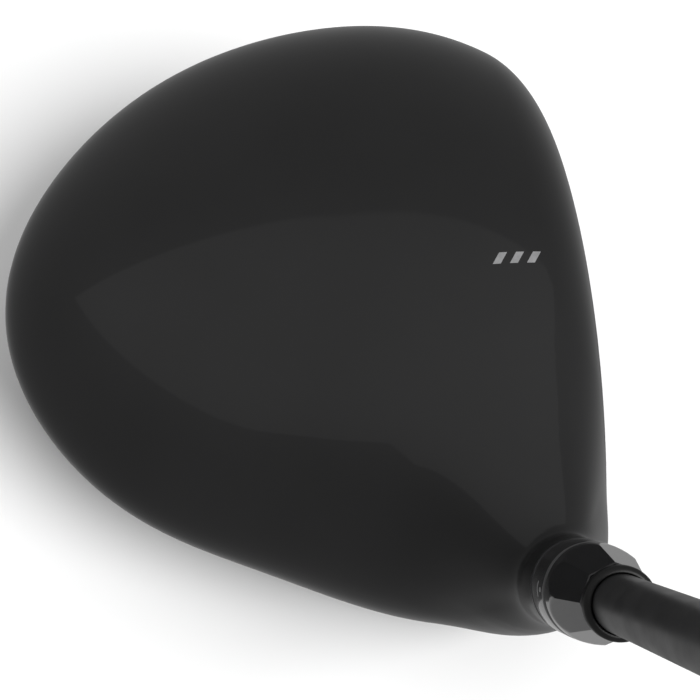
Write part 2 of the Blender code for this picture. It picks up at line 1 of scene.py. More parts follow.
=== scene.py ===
"""Fine surfaces, materials, light and camera for the golf driver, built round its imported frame.

The head's skin is one smooth surface, given as a field that is negative inside. It is meshed once,
cut along its seams, and thickened into the crown, the casting, the face and the sole badge.
"""
import json

from math import cos, pi, radians, sin, tan  # noqa: E402

import bpy  # noqa: E402
import numpy as np  # noqa: E402
from mathutils import Matrix, Vector  # noqa: E402


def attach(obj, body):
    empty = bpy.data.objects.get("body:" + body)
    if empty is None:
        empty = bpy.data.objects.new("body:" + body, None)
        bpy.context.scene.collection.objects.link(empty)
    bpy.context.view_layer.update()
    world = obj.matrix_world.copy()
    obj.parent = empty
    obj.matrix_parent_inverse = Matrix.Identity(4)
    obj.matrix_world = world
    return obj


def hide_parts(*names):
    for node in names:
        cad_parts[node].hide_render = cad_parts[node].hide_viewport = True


MM = 0.001
GAP = 0.3 * MM                      # clearance between neighbouring pieces, as in the frame

# --- head, as in the frame ----------------------------------------------------------------------
HEAD_CENTRE = np.array([0.0, 26.0]) * MM
OUTLINE_RADII = np.array([60.8, 59.3, 58.9, 58.8, 55.6, 53.6,      # every 30 degrees from the toe
                          59.4, 74.0, 71.0, 63.5, 62.0, 62.8]) * MM  # round the rear to the face
FACE_Y = -30.0 * MM
GIRTH_FRONT, GIRTH_FALL, GIRTH_TILT = 32.0 * MM, 0.075, 0.06
GIRTH_SOFT = 6.0 * MM               # the crown's fullness passes into the sole's over this height
CROWN_RISE, CROWN_FALL, CROWN_FULLNESS = 39.0 * MM, 0.19, 2.5
SOLE_DROP, SOLE_FALL = 35.6 * MM, 0.155
SOLE_FULLNESS, SOLE_FRONT_FULLNESS = 3.0, 6.0
SOLE_FRONT_SPAN = (0.15, 0.75)      # share of the outline's reach where the front's fullness sets in
LEAST_HALF_HEIGHT, LEAST_SLOPE = 5.0 * MM, 15.0    # keep the field finite outside the head
LOFT = radians(10)
FACE_BULGE = FACE_ROLL = 300.0 * MM
FACE_LEADING_Z, FACE_MIDDLE_Z = 4.0 * MM, 30.0 * MM
FACE_PROUD = 0.1 * MM               # makes up for what the rounded edge takes off
TOP_LINE_ROUND, LEADING_ROUND = 8.0 * MM, 5.0 * MM
PAD_ROUND = 0.8 * MM
TOP_LINE_SPAN = (20.0 * MM, 42.0 * MM)      # the leading edge's rounding passes into the top line's
FACE_INSET = 5.0 * MM               # how far inside the outline the face plate ends
FACE_REACH = 2.0 * MM               # skin further than this behind the face surface isn't the plate's
SOLE_BELOW_GIRTH = 2.0 * MM         # ports and badge are only cut this far below the girth
CROWN_SKIN, BODY_SKIN, FACE_SKIN, BADGE_SKIN = 1.0 * MM, 1.2 * MM, 2.4 * MM, 0.6 * MM
BADGE_SINK = 0.05 * MM
SKIN_LOW, SKIN_HIGH = (-92, -36, -3), (66, 90, 68)     # millimetres, the box that is meshed

# --- hosel, adapter and shaft -------------------------------------------------------------------
SHAFT_LIE = radians(58.5)
HOSEL_LIE = SHAFT_LIE + radians(0.75)
HOSEL_FOOT = np.array([-42.0, -6.8, 0.0]) * MM
TILT_HEIGHT = 68.0 * MM
NECK_FOOT, NECK_END, NECK_R = 26.0 * MM, 63.1 * MM, 7.55 * MM
NECK_BLEND_LOW, NECK_BLEND_HIGH = 12.0 * MM, 1.5 * MM  # fillet at the neck's foot and its top
NECK_BLEND_SPAN = (38.0 * MM, 57.0 * MM)
NECK_FOOT_ROUND = 6.0 * MM
SHOULDER_TOP, SHOULDER_FOOT = 57.0 * MM, 30.0 * MM    # where the crown's shoulder meets the neck
SHOULDER_SLOPE, SHOULDER_BLEND, SHOULDER_EDGE = 1.5, 11.0 * MM, 13.0 * MM
SHOULDER_MIDDLE, SHOULDER_HALF = (12.0 * MM, 2.0 * MM), (18.0 * MM, 15.0 * MM)
SHOULDER_FACING = (0.95, 0.3)       # toeward and rearward share of the side it is on
SHOULDER_TURN = (-0.2, 0.8)         # where round the neck it starts and is complete
SHOULDER_FOOT_ROUND = 8.0 * MM
NECK_PATCH_R, NECK_PATCH_LOW = 15.0 * MM, 20.0 * MM   # skin round the neck that is the casting's
POCKET_TOP = 30.0 * MM              # the tube's hole is only cut below this height
RIM_LOW, RIM_TOP, RIM_R = 63.2 * MM, 64.4 * MM, 7.6 * MM
TUBE_R, BORE_R, TUBE_MOUTH = 6.9 * MM, 5.75 * MM, -5.0 * MM
TUBE_FOOT_BAND, TUBE_FOOT_TOP = 2.0 * MM, 16.0 * MM  # what is slid to the sole, and how far
TUBE_SINK, TUBE_ROUND = 0.15 * MM, 0.2 * MM
POCKET_FLOOR, POCKET_R, WEB_TOP = 18.9 * MM, 5.0 * MM, 21.0 * MM
SCREW_HEAD_LOW, SCREW_HEAD_HIGH, SCREW_TOP = 13.0 * MM, 17.5 * MM, 43.0 * MM
SCREW_HEAD_R, SCREW_SHANK_R, SCREW_HOLE_R = 3.9 * MM, 2.4 * MM, 2.7 * MM
SCREW_BEVEL, SOCKET_LIP, SOCKET_POINT = 0.6 * MM, 0.12 * MM, 0.3 * MM
SOCKET_DEPTH, SOCKET_RADII = 2.6 * MM, (2.5 * MM, 1.9 * MM)
RING_LOW, RING_TOP, RING_R = 64.7 * MM, 71.7 * MM, 7.6 * MM
RING_CHAMFER, RING_DRAFT, SMALL_ROUND = 0.6 * MM, 0.02 * MM, 0.25 * MM
SLEEVE_FOOT, SLEEVE_SEAT = 32.0 * MM, 72.0 * MM
SLEEVE_TOP = 85.0 * MM
SEAT_CHAMFER = (0.3 * MM, 0.2 * MM)   # along and across
SLEEVE_FLATS, BARREL_R, SHOULDER_R, FLATS_START = 8, 5.45 * MM, 7.3 * MM, 75.0 * MM
FLAT_EDGE, SLEEVE_EDGE = 0.1 * MM, 0.15 * MM    # rounding between flats, and at the sleeve's top
SLEEVE_ROUND_PROUD, SLEEVE_ROUND_FALL, SLEEVE_ROUND_POWER = 0.2 * MM, 1.2 * MM, 1.3
COLLAR_R, COLLAR_LOW, COLLAR_HIGH = 5.46 * MM, 85.45 * MM, 87.45 * MM
COLLAR_GAP, COLLAR_CHAMFER, COLLAR_ROUND = 0.1 * MM, (0.5 * MM, 0.6 * MM), 0.35 * MM
TIP_R, BUTT_R, SHAFT_WALL = 4.27 * MM, 7.62 * MM, 1.2 * MM
SHAFT_TIP, TAPER_START, SHAFT_BUTT = 46.0 * MM, 150.0 * MM, 1149.5 * MM
SHAFT_TIP_BAND = 1.0 * MM           # first ring above the tip
GRIP_MOUTH, GRIP_END, CLUB_END = 887.0 * MM, 1152.0 * MM, 1155.7 * MM
GRIP_MOUTH_R, GRIP_BUTT_R, VENT_R = 9.6 * MM, 13.2 * MM, 1.3 * MM
GRIP_LIP = ((0.0, -0.7 * MM), (0.2 * MM, -0.3 * MM), (0.8 * MM, 0.0))    # height and radius, added
GRIP_LIP_END, GRIP_BORE_GAP, GRIP_TAPER_POWER, CAP_ROUND = 1.6 * MM, 0.8 * MM, 1.25, 1.1 * MM
GROOVE_TURNS, GROOVE_PITCH, GROOVE_WIDTH, GROOVE_DEPTH = 9, 18.0 * MM, 0.30, 0.55 * MM
GROOVE_FADE_LOW = (GRIP_MOUTH + 14.0 * MM, GRIP_MOUTH + 26.0 * MM)
GROOVE_FADE_HIGH = (GRIP_END - 22.0 * MM, GRIP_END - 12.0 * MM)

# --- sole ---------------------------------------------------------------------------------------
PORT_R, WEIGHT_R, WEIGHT_SINK = 8.6 * MM, 7.2 * MM, 0.6 * MM
PORT_DEPTH, POCKET_DEPTH = 8.6 * MM, 6.0 * MM
WEIGHT_HEAD_R, WEIGHT_SHANK_R = 3.3 * MM, 2.0 * MM
WEIGHT_CLEAR, WEIGHT_ROUND = 0.25 * MM, 0.4 * MM
WEIGHT_SEAT_DEPTH, WEIGHT_SCREW_SINK, WEIGHT_SCREW_SHORT = 2.6 * MM, 0.2 * MM, 1.0 * MM
WEIGHT_SOCKET_DEPTH, WEIGHT_SOCKET_RADII = 1.5 * MM, (2.1 * MM, 1.6 * MM)
BADGE_MIDDLE_Y, BADGE_HALF = 36.0 * MM, (17.0 * MM, 9.0 * MM)
MARK_PLACE = (-14.9 * MM, -5.6 * MM)    # middle of the alignment bars on the crown
SEAM = 0.2 * MM
GLINT_HEIGHT, GLINT_ROUND = 69.9 * MM, RING_R * radians(86)   # place on the ring of a painted glint: a white dot and arc of reflected light, laid on as an index mark
GLINT_DOT_R, GLINT_ARC_R, GLINT_ARC_WIDTH = 0.38 * MM, 1.7 * MM, 0.3 * MM
GLINT_ARC_HALF = radians(42)
MARK_LIFT, MARK_ROOT = 0.03 * MM, 0.05 * MM     # how far a mark stands out of and into its surface
MARK_ABOVE, MARK_BEFORE = 70.0 * MM, 2.0 * MM   # above the crown and before the face
MARK_STEP, MARK_STEPS = 0.9, 30     # share of the distance that a mark is dropped each time
BAR_TALL, BAR_WIDE, BAR_PITCH, BAR_SLANT = 2.2 * MM, 1.4 * MM, 3.0 * MM, 1.4 * MM
SCORE_LINES, SCORE_LOWEST, SCORE_PITCH, SCORE_WIDTH = 7, 14.0 * MM, 5.0 * MM, 0.7 * MM
SCORE_INNER, SCORE_INNER_END = 13.0 * MM, 5.0 * MM    # the lowest and highest lines reach in
SCORE_OUTER, SCORE_OUTER_FALL = 32.0 * MM, 1.2 * MM

# --- stage, light and camera --------------------------------------------------------------------
FLOOR_HALF, FLOOR_DROP = 40.0, 0.3 * MM
WORLD_LIGHT, SUN_LIGHT, SUN_SPREAD = 0.40, 3.9, radians(40)
SUN_FROM = (-0.6, -0.6, 0.75)       # behind the camera, where no surface facing it mirrors
CAMERA_PLACE = (-0.1769, 0.0579, 0.2796)
CAMERA_ELEVATION, CAMERA_AZIMUTH, CAMERA_ROLL = radians(56.01), radians(12.76), radians(8.49)
CAMERA_LENS = 82.8
CARDS = {                           # middle, two edges at right angles, and power
    "toe_card": ((1.3, -0.92, 0.12), (-0.52, -0.73, 0.0), (0.0, 0.0, 0.5), 1.4),
    "overhead": ((-0.45, 0.91, 2.99), (-0.35, -4.02, 0.9), (3.0, -0.82, -2.48), 26),
}

CELL = 1.25 * MM                    # size of the surface's quads
SNAP, LINE_STEP = 0.18 * CELL, 0.5 * CELL   # points this near a seam move onto it, in such steps
NOISE_SPAN, WORN_SPAN = (0.3, 0.7), (0.54, 0.62)   # range of a noise's values; of a worn edge's

HOSEL_UP = np.array([-cos(HOSEL_LIE), 0, sin(HOSEL_LIE)])
HOSEL_TOEWARD = np.array([sin(HOSEL_LIE), 0, cos(HOSEL_LIE)])
SHAFT_UP = np.array([-cos(SHAFT_LIE), 0, sin(SHAFT_LIE)])

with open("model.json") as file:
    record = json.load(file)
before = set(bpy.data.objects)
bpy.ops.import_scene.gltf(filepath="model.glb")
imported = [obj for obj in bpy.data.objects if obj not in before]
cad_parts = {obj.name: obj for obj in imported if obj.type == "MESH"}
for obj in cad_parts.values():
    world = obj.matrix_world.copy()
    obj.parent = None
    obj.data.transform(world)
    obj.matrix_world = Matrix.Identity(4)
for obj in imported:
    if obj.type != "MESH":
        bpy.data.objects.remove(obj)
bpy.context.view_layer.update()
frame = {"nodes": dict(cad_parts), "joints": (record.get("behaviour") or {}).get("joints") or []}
JOINTS = {joint["name"]: joint for joint in frame["joints"]}


# ================================================================================================
# fields
# ================================================================================================
def smooth_max(a, b, width):
    """The larger of two distances, rounded where they are closer than width."""
    near = np.maximum(width - np.abs(a - b), 0) / width
    return np.maximum(a, b) + near * near * width / 4


def smooth_min(a, b, width):
    return -smooth_max(-a, -b, width)


def smooth_step(value, low, high):
    share = np.clip((value - low) / (high - low), 0, 1)
    return share * share * (3 - 2 * share)


def outline_radius(theta):
    waves = np.fft.rfft(OUTLINE_RADII) / len(OUTLINE_RADII)
    radius = np.full_like(theta, waves[0].real)
    for order in range(1, len(waves) - 1):
        radius += 2 * np.real(waves[order] * np.exp(1j * order * theta))
    return radius + np.real(waves[-1]) * np.cos((len(waves) - 1) * theta)


def girth_height(p):
    return GIRTH_FRONT + GIRTH_TILT * p[:, 0] - GIRTH_FALL * (p[:, 1] - FACE_Y)


def shell_value(p):
    """Superellipsoid value of the head without its face: 0 on the skin, negative inside."""
    x, y = p[:, 0] - HEAD_CENTRE[0], p[:, 1] - HEAD_CENTRE[1]
    theta = np.arctan2(y, x)
    reach = np.hypot(x, y) / outline_radius(theta)
    back = p[:, 1] - FACE_Y
    height = p[:, 2] - girth_height(p)
    rise = CROWN_RISE - CROWN_FALL * back
    drop = SOLE_DROP - SOLE_FALL * back + GIRTH_TILT * p[:, 0]
    front = np.clip(-np.sin(theta), 0, 1) ** 2 * smooth_step(reach, *SOLE_FRONT_SPAN)
    sole = SOLE_FULLNESS + (SOLE_FRONT_FULLNESS - SOLE_FULLNESS) * front
    power = sole + (CROWN_FULLNESS - sole) * smooth_step(height, -GIRTH_SOFT, GIRTH_SOFT)
    half = np.maximum(np.where(height >= 0, rise, drop), LEAST_HALF_HEIGHT)
    return reach ** power + (height / half) ** 2 - 1


def gradient(field, p, step=1e-5):
    parts = []
    for axis in range(3):
        offset = np.zeros(3)
        offset[axis] = step
        parts.append((field(p + offset) - field(p - offset)) / (2 * step))
    return np.stack(parts, axis=1)


def shell_distance(p):
    slope = np.linalg.norm(gradient(shell_value, p), axis=1)
    return shell_value(p) / np.maximum(slope, LEAST_SLOPE)


def face_distance(p):
    x, y, z = p.T
    surface = (FACE_Y - FACE_PROUD + (z - FACE_LEADING_Z) * tan(LOFT) + x * x / (2 * FACE_BULGE)
               + (z - FACE_MIDDLE_Z) ** 2 / (2 * FACE_ROLL))
    return (surface - y) * cos(LOFT)


def along_hosel(p):
    """Height along the hosel axis and distance from it."""
    from_foot = p - HOSEL_FOOT
    height = from_foot @ HOSEL_UP
    return height, np.linalg.norm(from_foot - height[:, None] * HOSEL_UP, axis=1)


def neck_distance(p):
    height, radial = along_hosel(p)
    return smooth_max(radial - NECK_R, NECK_FOOT - height, NECK_FOOT_ROUND)


def shoulder_distance(p):
    """Cone that carries the crown up to the neck on the toe and rear sides, within an oval."""
    height, radial = along_hosel(p)
    toeward = (p - HOSEL_FOOT) @ HOSEL_TOEWARD
    rearward = p[:, 1] - HOSEL_FOOT[1]
    toward = SHOULDER_FACING[0] * toeward + SHOULDER_FACING[1] * rearward
    slope = SHOULDER_SLOPE * smooth_step(toward / np.maximum(radial, MM), *SHOULDER_TURN)
    cone = (radial - NECK_R - slope * (SHOULDER_TOP - height)) / np.sqrt(1 + slope ** 2)
    across = np.hypot((toeward - SHOULDER_MIDDLE[0]) / SHOULDER_HALF[0],
                      (rearward - SHOULDER_MIDDLE[1]) / SHOULDER_HALF[1])
    oval = (across - 1) * min(SHOULDER_HALF)
    return smooth_max(smooth_max(cone, oval, SHOULDER_EDGE), SHOULDER_FOOT - height,
                      SHOULDER_FOOT_ROUND)


def head_field(p):
    edge = LEADING_ROUND + (TOP_LINE_ROUND - LEADING_ROUND) * smooth_step(p[:, 2], *TOP_LINE_SPAN)
    body = smooth_min(shell_distance(p), shoulder_distance(p), SHOULDER_BLEND)
    body = smooth_max(body, face_distance(p), edge)
    body = smooth_max(body, -p[:, 2], PAD_ROUND)
    narrowing = smooth_step(along_hosel(p)[0], *NECK_BLEND_SPAN)
    blend = NECK_BLEND_LOW + (NECK_BLEND_HIGH - NECK_BLEND_LOW) * narrowing
    return smooth_min(body, neck_distance(p), blend)


# ================================================================================================
# meshing
# ================================================================================================
def settle(points, field, rounds=5):
    """Move points along the field's gradient until they lie on its zero surface."""
    for _ in range(rounds):
        slope = gradient(field, points)
        move = (field(points) / np.maximum((slope ** 2).sum(1), 1e-9))[:, None] * slope
        length = np.linalg.norm(move, axis=1, keepdims=True)
        points = points - move * np.minimum(1, MM / np.maximum(length, 1e-12))
    return points


def outward(points):
    slope = gradient(head_field, points)
    return slope / np.linalg.norm(slope, axis=1, keepdims=True)


def surface_net(field, low, high, cell):
    """Quads on the zero surface of a field: one point per crossed cell, one quad per crossed edge."""
    counts = np.ceil((np.array(high) - low) / cell).astype(int) + 1
    ticks = [low[axis] + cell * np.arange(counts[axis]) for axis in range(3)]
    nodes = np.stack(np.meshgrid(*ticks, indexing="ij"), axis=-1)
    value = field(nodes.reshape(-1, 3)).reshape(counts)
    cells = tuple(count - 1 for count in counts)
    total, weight = np.zeros((*cells, 3)), np.zeros(cells)
    corners = [(i, j, k) for i in (0, 1) for j in (0, 1) for k in (0, 1)]

    def corner(grid, at):
        return grid[at[0]:at[0] + cells[0], at[1]:at[1] + cells[1], at[2]:at[2] + cells[2]]

    for start in corners:
        for axis in range(3):
            if start[axis]:
                continue
            end = tuple(value_ + (number == axis) for number, value_ in enumerate(start))
            a, b = corner(value, start), corner(value, end)
            crossed = (a < 0) != (b < 0)
            share = np.where(crossed, a / np.where(crossed, a - b, 1), 0)
            point = corner(nodes, start) + share[..., None] * (corner(nodes, end)
                                                             - corner(nodes, start))
            total += np.where(crossed[..., None], point, 0)
            weight += crossed
    used = weight > 0
    number = np.full(cells, -1)
    number[used] = np.arange(used.sum())
    points = total[used] / weight[used][:, None]
    quads = []
    for axis in range(3):
        one, two = (axis + 1) % 3, (axis + 2) % 3
        first = [slice(None)] * 3
        second = [slice(None)] * 3
        first[axis], second[axis] = slice(0, -1), slice(1, None)
        a, b = value[tuple(first)] < 0, value[tuple(second)] < 0
        at = np.argwhere(a != b)
        inner = (at[:, one] > 0) & (at[:, two] > 0)
        inner &= (at[:, one] < cells[one]) & (at[:, two] < cells[two])
        at = at[inner]
        ring = []
        for back_one, back_two in ((1, 1), (0, 1), (0, 0), (1, 0)):
            where = at.copy()
            where[:, one] -= back_one
            where[:, two] -= back_two
            ring.append(number[tuple(where.T)])
        ring = np.stack(ring, axis=1)
        flip = ~a[tuple(at.T)]
        ring[flip] = ring[flip][:, ::-1]
        quads.append(ring)
    return points, np.concatenate(quads)


def to_triangles(points, quads):
    """Halve each quad along its shorter diagonal."""
    first = np.linalg.norm(points[quads[:, 0]] - points[quads[:, 2]], axis=1)
    second = np.linalg.norm(points[quads[:, 1]] - points[quads[:, 3]], axis=1)
    other = (second < first)[:, None]
    one = np.where(other, quads[:, [0, 1, 3]], quads[:, [0, 1, 2]])
    two = np.where(other, quads[:, [1, 2, 3]], quads[:, [0, 2, 3]])
    return np.concatenate([one, two])


def settle_on_line(points, line, rounds=4):
    """Bring points onto the skin and onto the zero line of a second field."""
    for _ in range(rounds):
        points = settle(points, head_field, 1)
        normal = outward(points)
        slope = gradient(line, points)
        slope -= (slope * normal).sum(1, keepdims=True) * normal
        size = np.maximum((slope ** 2).sum(1), 1e-4)
        move = (line(points) / size)[:, None] * slope
        length = np.linalg.norm(move, axis=1, keepdims=True)
        points = points - move * np.minimum(1, LINE_STEP / np.maximum(length, 1e-12))
    return settle(points, head_field, 1)


def split(points, triangles, line):
    """Cut the triangles along the zero line of a field, so that none lies across it."""
    value = line(points)
    near = np.abs(value) < SNAP
    points = points.copy()
    points[near] = settle_on_line(points[near], line)
    value[near] = 0.0
    below = value < 0
    edges = np.concatenate([triangles[:, [0, 1]], triangles[:, [1, 2]], triangles[:, [2, 0]]])
    edges = np.unique(np.sort(edges, axis=1), axis=0)
    crossing = edges[below[edges[:, 0]] != below[edges[:, 1]]]
    a, b = crossing.T
    on_a, on_b = value[a] == 0, value[b] == 0
    fresh = ~(on_a | on_b)
    share = value[a[fresh]] / (value[a[fresh]] - value[b[fresh]])
    made = points[a[fresh]] + share[:, None] * (points[b[fresh]] - points[a[fresh]])
    at = np.where(on_a, a, b)
    at[fresh] = len(points) + np.arange(fresh.sum())
    points = np.concatenate([points, settle_on_line(made, line)])
    size = len(points)
    keys = crossing[:, 0] * size + crossing[:, 1]

    def middle(one, two):
        key = np.minimum(one, two) * size + np.maximum(one, two)
        return at[np.searchsorted(keys, key)]

    side = below[triangles]
    count = side.sum(1)
    whole = triangles[(count == 0) | (count == 3)]
    mixed = triangles[(count == 1) | (count == 2)]
    lone_below = below[mixed].sum(1) == 1
    lone = np.argmax(below[mixed] == lone_below[:, None], axis=1)
    rows = np.arange(len(mixed))
    top, left, right = (mixed[rows, (lone + turn) % 3] for turn in range(3))
    low, high = middle(top, left), middle(top, right)
    parts = [whole, np.stack([top, low, high], 1), np.stack([low, left, high], 1),
             np.stack([left, right, high], 1)]
    found = np.concatenate(parts)
    proper = ((found[:, 0] != found[:, 1]) & (found[:, 1] != found[:, 2])
              & (found[:, 2] != found[:, 0]))
    return points, found[proper]


def make_object(name, points, faces, finish, body, normals=None, crease=radians(30)):
    mesh = bpy.data.meshes.new(name)
    mesh.from_pydata([tuple(point) for point in points], [], [tuple(face) for face in faces])
    mesh.shade_smooth()
    if normals is None:
        mesh.set_sharp_from_angle(angle=crease)
    else:
        mesh.normals_split_custom_set([tuple(normal) for normal in normals])
    mesh.materials.append(finish)
    made = bpy.data.objects.new(name, mesh)
    bpy.context.scene.collection.objects.link(made)
    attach(made, body)
    return made


def thick_piece(name, points, triangles, wall, finish, body, sink=0.0):
    """A closed shell from a patch of skin: outside, rim and inside."""
    used, triangles = np.unique(triangles, return_inverse=True)
    triangles = triangles.reshape(-1, 3)
    skin = points[used]
    normal = outward(skin)
    skin = skin - sink * normal
    size = len(skin)
    directed = np.concatenate([triangles[:, [0, 1]], triangles[:, [1, 2]], triangles[:, [2, 0]]])
    key = directed[:, 0] * size + directed[:, 1]
    back = directed[:, 1] * size + directed[:, 0]
    rim = directed[~np.isin(key, back)]
    run = skin[rim[:, 1]] - skin[rim[:, 0]]
    run /= np.maximum(np.linalg.norm(run, axis=1, keepdims=True), 1e-12)
    aside = np.zeros_like(skin)
    for end in (0, 1):
        np.add.at(aside, rim[:, end], np.cross(run, normal[rim[:, end]]))
    aside /= np.maximum(np.linalg.norm(aside, axis=1, keepdims=True), 1e-12)
    a, b = rim.T
    side = np.stack([b, a, a + size, b + size], 1)
    faces = [*triangles.tolist(), *(triangles[:, ::-1] + size).tolist(), *side.tolist()]
    loops = [normal[triangles].reshape(-1, 3), -normal[triangles[:, ::-1]].reshape(-1, 3),
             aside[np.stack([b, a, a, b], 1)].reshape(-1, 3)]
    return make_object(name, np.concatenate([skin, skin - wall * normal]), faces, finish, body,
                       np.concatenate(loops))


# ================================================================================================
# turned and lofted pieces
# ================================================================================================
def basis(direction):
    """Rotation that takes +Z to a direction, as the frame's pieces are turned."""
    turn = Vector((0, 0, 1)).rotation_difference(Vector(direction)).to_matrix()
    return np.array(turn)


def soften(profile, radius, closed=True, steps=4):
    """Round a profile's corners with short curves."""
    points = [np.array(point, float) for point in profile]
    count = len(points)
    made = []
    for number, point in enumerate(points):
        if not closed and number in (0, count - 1):
            made.append(point)
            continue
        before, after = points[number - 1], points[(number + 1) % count]
        ends = []
        for other in (before, after):
            span = np.linalg.norm(other - point)
            ends.append(point + (other - point) * min(0.45, radius / max(span, 1e-9)))
        for step in range(steps + 1):
            t = step / steps
            made.append((1 - t) ** 2 * ends[0] + 2 * t * (1 - t) * point + t * t * ends[1])
    return [tuple(point) for point in made]


def loft(rings, closed_profile):
    """Skin a list of rings of points. A ring of one point closes the surface there."""
    points, starts, faces = [], [], []
    for ring in rings:
        starts.append(len(points))
        points.extend(ring)
    last = len(rings) if closed_profile else len(rings) - 1
    for number in range(last):
        after = (number + 1) % len(rings)
        low, high = rings[number], rings[after]
        sides = max(len(low), len(high))
        for side_number in range(sides):
            step = (side_number + 1) % sides
            face = [starts[number]] if len(low) == 1 else [starts[number] + side_number,
                                                         starts[number] + step]
            face += [starts[after]] if len(high) == 1 else [starts[after] + step,
                                                          starts[after] + side_number]
            faces.append(face)
    return points, faces


def placed(points, origin, turn):
    return np.array(points) @ turn.T + origin


def ring_points(height, radius, sides, wave=None):
    if radius <= 0:
        return [(0.0, 0.0, height)]
    angles = 2 * pi * np.arange(sides) / sides
    reach = radius if wave is None else radius + wave(angles)
    return list(zip(reach * np.cos(angles), reach * np.sin(angles), np.full(sides, height)))


def turned(name, profile, place, finish, body, sides=128, closed=True, bend=None,
           crease=radians(30)):
    """A turned piece from (height, radius) pairs that run up its outside and down its bore."""
    rings = [ring_points(height, radius, sides) for height, radius in profile]
    points, faces = loft(rings, closed)
    points = placed(points, *place)
    if bend is not None:
        points = bend(points)
    return make_object(name, points, faces, finish, body, crease=crease)


# ================================================================================================
# materials
# ================================================================================================
def finish(name, colour, roughness, metallic=0.0, coat=0.0, specular=0.5, mottle=(90, 0.12),
           haze=(140, 0.05), bumps=((900, 0.02),), stretch=None, wear=None, coat_roughness=0.03,
           coat_ior=1.5):
    """Principled material with colour mottle, roughness haze and layered bump, all procedural."""
    made = bpy.data.materials.new(name)
    made.use_nodes = True
    nodes, links = made.node_tree.nodes, made.node_tree.links
    shader = nodes["Principled BSDF"]
    shader.inputs["Metallic"].default_value = metallic
    shader.inputs["Coat Weight"].default_value = coat
    shader.inputs["Coat Roughness"].default_value = coat_roughness
    shader.inputs["Coat IOR"].default_value = coat_ior
    shader.inputs["Specular IOR Level"].default_value = specular
    where = nodes.new("ShaderNodeTexCoord").outputs["Object"]
    if stretch is not None:
        mapping = nodes.new("ShaderNodeMapping")
        mapping.inputs["Scale"].default_value = stretch
        links.new(where, mapping.inputs["Vector"])
        where = mapping.outputs["Vector"]

    def noise(scale, detail=4.0):
        texture = nodes.new("ShaderNodeTexNoise")
        texture.inputs["Scale"].default_value = scale
        texture.inputs["Detail"].default_value = detail
        links.new(where, texture.inputs["Vector"])
        return texture.outputs["Fac"]

    ramp = nodes.new("ShaderNodeValToRGB")
    for element, share in zip(ramp.color_ramp.elements, (1 - mottle[1], 1 + mottle[1])):
        element.color = (*[min(1.0, part * share) for part in colour], 1)
    for element, position in zip(ramp.color_ramp.elements, NOISE_SPAN):
        element.position = position
    links.new(noise(mottle[0]), ramp.inputs["Fac"])
    tint = ramp.outputs["Color"]
    spread = nodes.new("ShaderNodeMapRange")
    for end, value in zip(("From Min", "From Max"), NOISE_SPAN):
        spread.inputs[end].default_value = value
    spread.inputs["To Min"].default_value = max(0.01, roughness - haze[1])
    spread.inputs["To Max"].default_value = roughness + haze[1]
    links.new(noise(haze[0]), spread.inputs["Value"])
    if wear is not None:
        edges = nodes.new("ShaderNodeValToRGB")
        for element, position in zip(edges.color_ramp.elements, WORN_SPAN):
            element.position = position
        links.new(nodes.new("ShaderNodeNewGeometry").outputs["Pointiness"], edges.inputs["Fac"])
        mix = nodes.new("ShaderNodeMixRGB")
        mix.inputs["Color2"].default_value = (*wear, 1)
        links.new(edges.outputs["Color"], mix.inputs["Fac"])
        links.new(tint, mix.inputs["Color1"])
        tint = mix.outputs["Color"]
    links.new(tint, shader.inputs["Base Color"])
    links.new(spread.outputs["Result"], shader.inputs["Roughness"])
    normal = None
    for scale, depth in bumps:
        bump = nodes.new("ShaderNodeBump")
        bump.inputs["Strength"].default_value = 1.0
        bump.inputs["Distance"].default_value = depth * MM
        links.new(noise(scale, 2.0), bump.inputs["Height"])
        if normal is not None:
            links.new(normal, bump.inputs["Normal"])
        normal = bump.outputs["Normal"]
    if normal is not None:
        links.new(normal, shader.inputs["Normal"])
    return made


BRUSH_X = (0.08, 1.0, 1.0)          # stretches the grain along X
PAINT = dict(colour=(0.0105, 0.0105, 0.0107), roughness=0.30, specular=0.12, coat=0.3,
             coat_ior=1.4, coat_roughness=0.05, mottle=(25, 0.10), haze=(60, 0.02),
             bumps=((420, 0.0006),))
GLOSS, CAST = finish("gloss_paint", **PAINT), finish("casting_paint", **PAINT)
FACE = finish("face_metal", (0.05, 0.05, 0.052), 0.36, metallic=0.9, stretch=BRUSH_X,
              mottle=(2500, 0.25), haze=(1800, 0.08), bumps=((2600, 0.004),))
BADGE = finish("badge_metal", (0.36, 0.36, 0.37), 0.3, metallic=1.0, stretch=BRUSH_X,
               mottle=(2500, 0.12), haze=(1500, 0.08), bumps=((2600, 0.004),))
TUBE = finish("tube_metal", (0.03, 0.03, 0.032), 0.22, metallic=0.6, wear=(0.12, 0.12, 0.12),
              bumps=((2200, 0.002),))
RING = finish("ring_black", (0.012, 0.012, 0.013), 0.1, metallic=0.3, coat=0.9, mottle=(500, 0.15),
              haze=(400, 0.03), bumps=((1500, 0.0008),), wear=(0.03, 0.03, 0.031))
SLEEVE = finish("sleeve_black", (0.016, 0.016, 0.017), 0.09, metallic=0.5, coat=0.9,
                mottle=(500, 0.15), haze=(400, 0.03), bumps=((1500, 0.0008),),
                wear=(0.022, 0.022, 0.023))
COLLAR = finish("collar_black", (0.0035, 0.0035, 0.0035), 0.42, specular=0.25,
                mottle=(700, 0.2), haze=(500, 0.08), bumps=((2500, 0.003),))
GRAPHITE = finish("shaft_satin", (0.018, 0.018, 0.0185), 0.38, specular=0.6, mottle=(120, 0.12),
                  haze=(250, 0.05), bumps=((2200, 0.0025), (300, 0.002)))
STEEL = finish("screw_steel", (0.32, 0.32, 0.33), 0.28, metallic=1.0, mottle=(900, 0.12),
               haze=(800, 0.07), bumps=((2600, 0.003),), wear=(0.5, 0.5, 0.51))
